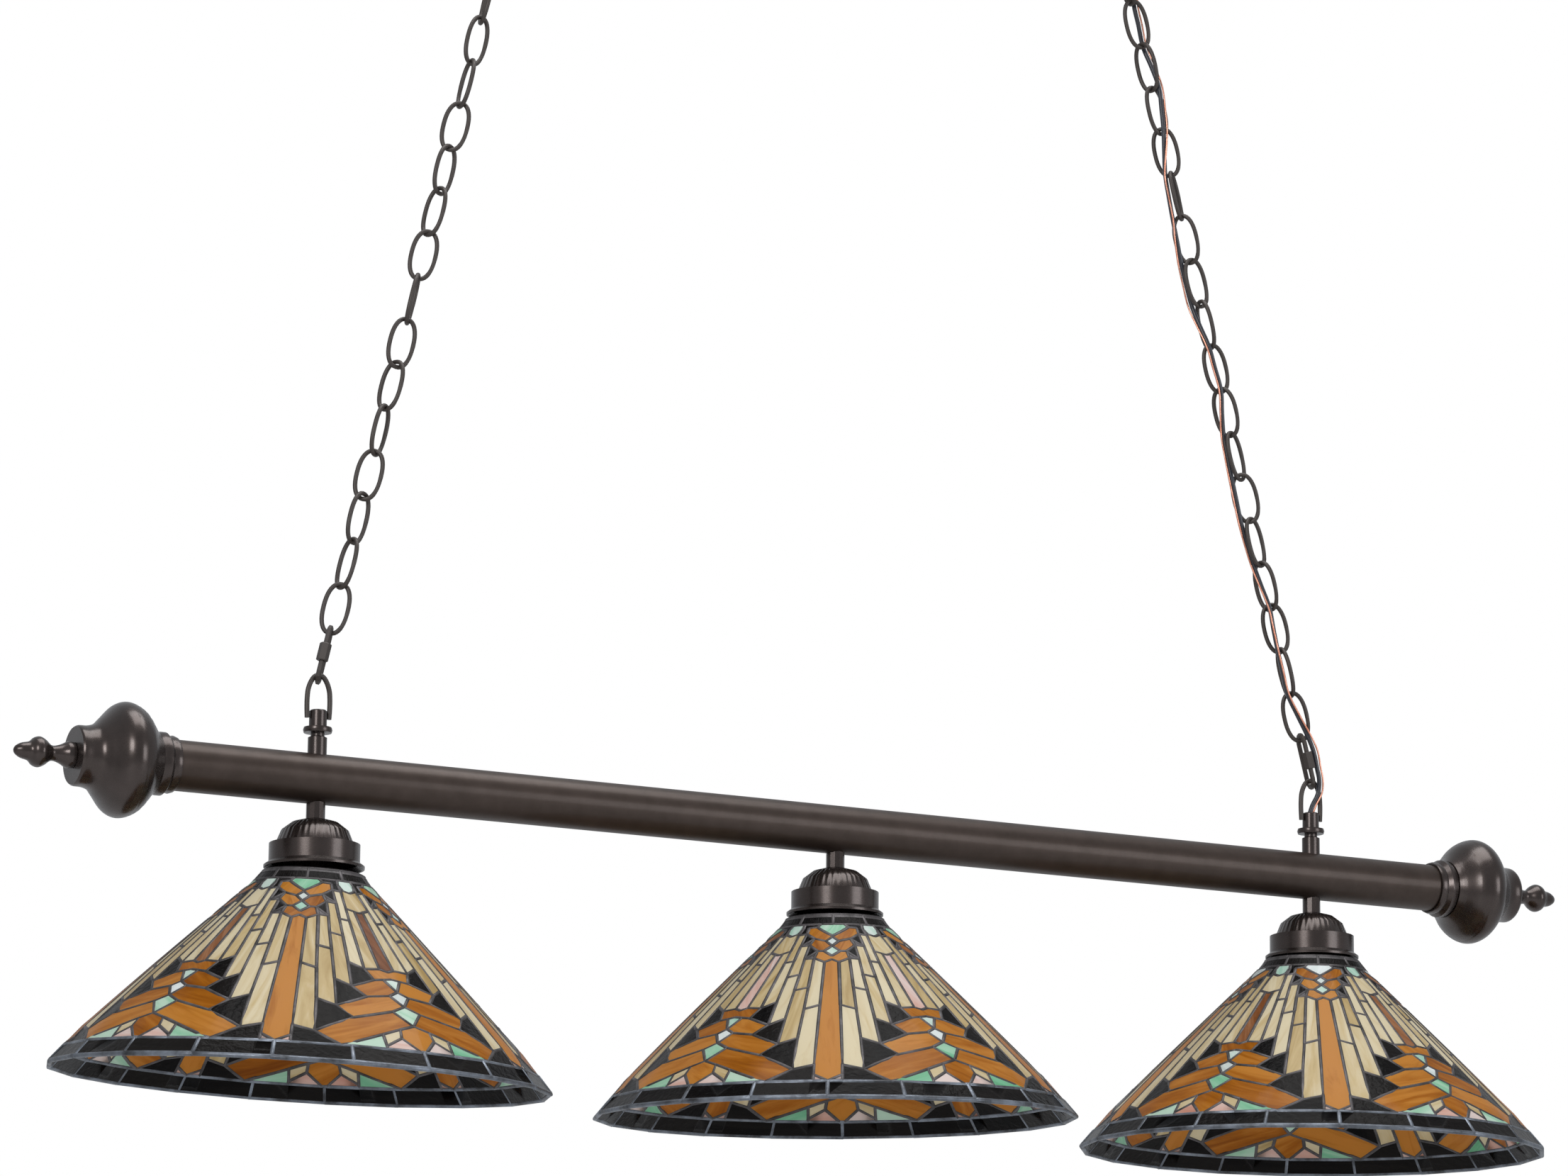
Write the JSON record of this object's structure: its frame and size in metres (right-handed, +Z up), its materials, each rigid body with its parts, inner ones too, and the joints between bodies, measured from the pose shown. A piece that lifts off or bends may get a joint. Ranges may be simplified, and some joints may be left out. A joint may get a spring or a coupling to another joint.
{
  "type": "pool table lamp",
  "caption": "Long horizontal bar lamp hung on chains above a pool table, with conical leaded glass shades, turned end finials and a black lead cord woven through a chain",
  "frame": {"origin": "on the ceiling plane, straight above the middle of the bar", "axes": "+Z up, +X along the bar toward the end whose chain carries the cord, -Y toward the front"},
  "size_m": [1.476, 0.4123, 1.1322],
  "materials": {
    "bronze": "dark oil-rubbed bronze, satin",
    "chain_bronze": "dark bronze plated wire, satin",
    "steel": "zinc-plated sheet steel",
    "leaded_glass": "opalescent art glass pieces held in dark lead came, with a soldered rim",
    "bulb_glass": "soft white frosted",
    "phenolic": "dark moulded lamp holder",
    "cord": "black sheath with a soft sheen",
    "wiring": "black insulation",
    "copper": "bare copper wire"
  },
  "bodies": {
    "root": {"left_canopy": "bronze", "left_canopy_loop": "bronze", "left_crossbar": "steel", "right_canopy": "bronze", "right_canopy_loop": "bronze", "right_crossbar": "steel"},
    "hangers": {"left_bail": "chain_bronze", "left_chain_run_1": "chain_bronze", "left_chain_run_2": "chain_bronze", "left_chain_run_3": "chain_bronze", "left_chain_run_4": "chain_bronze", "left_chain_run_5": "chain_bronze", "left_quick_link": "chain_bronze", "right_bail": "chain_bronze", "right_chain_run_1": "chain_bronze", "right_chain_run_2": "chain_bronze", "right_chain_run_3": "chain_bronze", "right_chain_run_4": "chain_bronze", "right_chain_run_5": "chain_bronze", "right_quick_link": "chain_bronze", "lead_cord": "cord", "ground_wire": "copper"},
    "bar": {"bar_tube": "bronze", "left_end_collar": "bronze", "left_end_bell": "bronze", "left_end_rod": "bronze", "left_loop_base": "bronze", "right_end_collar": "bronze", "right_end_bell": "bronze", "right_end_rod": "bronze", "right_loop_base": "bronze", "left_stem": "bronze", "left_fluted_cap": "bronze", "left_collar": "bronze", "left_rest_disc": "steel", "left_socket": "phenolic", "middle_stem": "bronze", "middle_fluted_cap": "bronze", "middle_collar": "bronze", "middle_rest_disc": "steel", "middle_socket": "phenolic", "right_stem": "bronze", "right_fluted_cap": "bronze", "right_collar": "bronze", "right_rest_disc": "steel", "right_socket": "phenolic", "wiring_loom": "wiring"},
    "left_shade_body": {"left_shade": "leaded_glass"},
    "middle_shade_body": {"middle_shade": "leaded_glass"},
    "right_shade_body": {"right_shade": "leaded_glass"},
    "left_bulb_body": {"left_bulb": "bulb_glass"},
    "middle_bulb_body": {"middle_bulb": "bulb_glass"},
    "right_bulb_body": {"right_bulb": "bulb_glass"},
    "left_finial_body": {"left_finial": "bronze"},
    "right_finial_body": {"right_finial": "bronze"},
    "left_lock_ring_body": {"left_lock_ring": "bronze"},
    "right_lock_ring_body": {"right_lock_ring": "bronze"},
    "left_sleeve_nut_body": {"left_sleeve_nut": "chain_bronze"},
    "right_sleeve_nut_body": {"right_sleeve_nut": "chain_bronze"}
  },
  "joints": [
    {"name": "lamp_swing", "type": "hinge", "parent": "root", "child": "hangers", "pos_m": [0, 0, -0.06], "axis": [1, 0, 0], "range_deg": [-12, 12]},
    {"name": "bar_tilt", "type": "hinge", "parent": "hangers", "child": "bar", "pos_m": [0, 0, -0.825], "axis": [1, 0, 0], "range_deg": [-15, 15]},
    {"name": "left_shade_turn", "type": "hinge", "parent": "bar", "child": "left_shade_body", "pos_m": [-0.4777, 0, -0.95179], "axis": [0.0241, -0.0542, 0.9982], "continuous": true},
    {"name": "middle_shade_turn", "type": "hinge", "parent": "bar", "child": "middle_shade_body", "pos_m": [0, 0, -0.95084], "axis": [-0.0255, -0.0264, 0.9993], "continuous": true},
    {"name": "right_shade_turn", "type": "hinge", "parent": "bar", "child": "right_shade_body", "pos_m": [0.4777, 0, -0.94981], "axis": [0.004, -0.0116, 0.9999], "continuous": true},
    {"name": "left_bulb_turn", "type": "hinge", "parent": "bar", "child": "left_bulb_body", "pos_m": [-0.4777, 0, -1.025], "axis": [0, 0, 1], "continuous": true},
    {"name": "middle_bulb_turn", "type": "hinge", "parent": "bar", "child": "middle_bulb_body", "pos_m": [0, 0, -1.025], "axis": [0, 0, 1], "continuous": true},
    {"name": "right_bulb_turn", "type": "hinge", "parent": "bar", "child": "right_bulb_body", "pos_m": [0.4777, 0, -1.025], "axis": [0, 0, 1], "continuous": true},
    {"name": "left_finial_turn", "type": "hinge", "parent": "bar", "child": "left_finial_body", "pos_m": [-0.7, 0, -0.875], "axis": [1, 0, 0], "continuous": true},
    {"name": "right_finial_turn", "type": "hinge", "parent": "bar", "child": "right_finial_body", "pos_m": [0.7, 0, -0.875], "axis": [1, 0, 0], "continuous": true},
    {"name": "left_lock_ring_turn", "type": "hinge", "parent": "root", "child": "left_lock_ring_body", "pos_m": [-0.31, 0, -0.038], "axis": [0, 0, 1], "continuous": true},
    {"name": "right_lock_ring_turn", "type": "hinge", "parent": "root", "child": "right_lock_ring_body", "pos_m": [0.286, 0, -0.038], "axis": [0, 0, 1], "continuous": true},
    {"name": "left_sleeve_nut_slide", "type": "slide", "parent": "hangers", "child": "left_sleeve_nut_body", "axis": [-0.2241, 0, -0.9746], "range_m": [0, 0.0055]},
    {"name": "right_sleeve_nut_slide", "type": "slide", "parent": "hangers", "child": "right_sleeve_nut_body", "axis": [0.2542, 0, -0.9671], "range_m": [0, 0.0055]}
  ]
}
